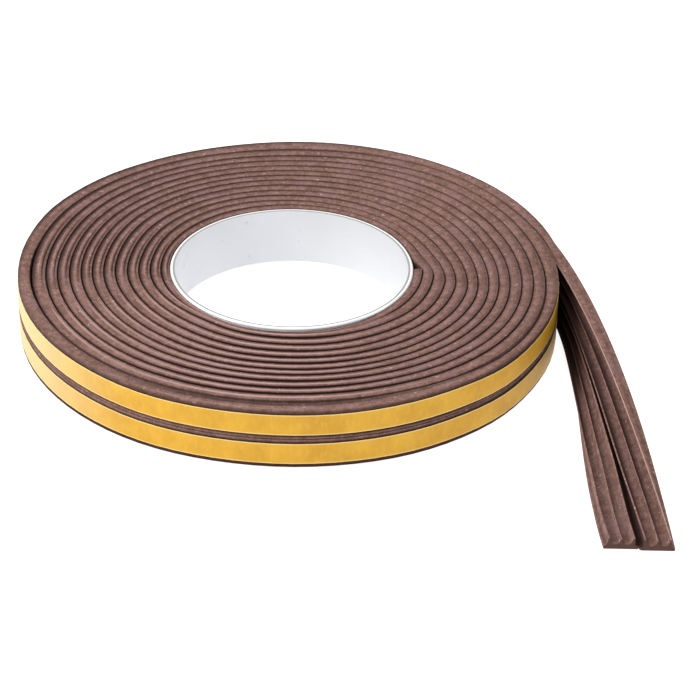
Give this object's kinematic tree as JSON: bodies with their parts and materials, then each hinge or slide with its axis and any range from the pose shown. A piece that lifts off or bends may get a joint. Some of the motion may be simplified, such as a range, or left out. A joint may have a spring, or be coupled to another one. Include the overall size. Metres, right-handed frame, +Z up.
{
  "type": "e-profile seal strip roll",
  "caption": "Roll of brown foam sealing strip with a three-ribbed E section, a twin wound on a low tube core, yellow release paper on its back and a free end lying flat.",
  "frame": {"origin": "middle of the rectangle that the roll and its free end cover, at floor level; the roll's axis stands at x -11.45 mm, y 17.25 mm", "axes": "+Z up along the roll's axis; the free end leaves the roll on its +X side and runs along -Y"},
  "size_m": [0.1826, 0.1942, 0.0188],
  "materials": {
    "foam": "matt brown closed-cell rubber foam with a fine grain",
    "release_paper": "golden yellow silicone-coated paper, satin",
    "core": "matt white"
  },
  "bodies": {
    "root": {"core": "core", "seal_strip": "foam", "release_paper_lower": "release_paper", "release_paper_upper": "release_paper"}
  },
  "joints": []
}
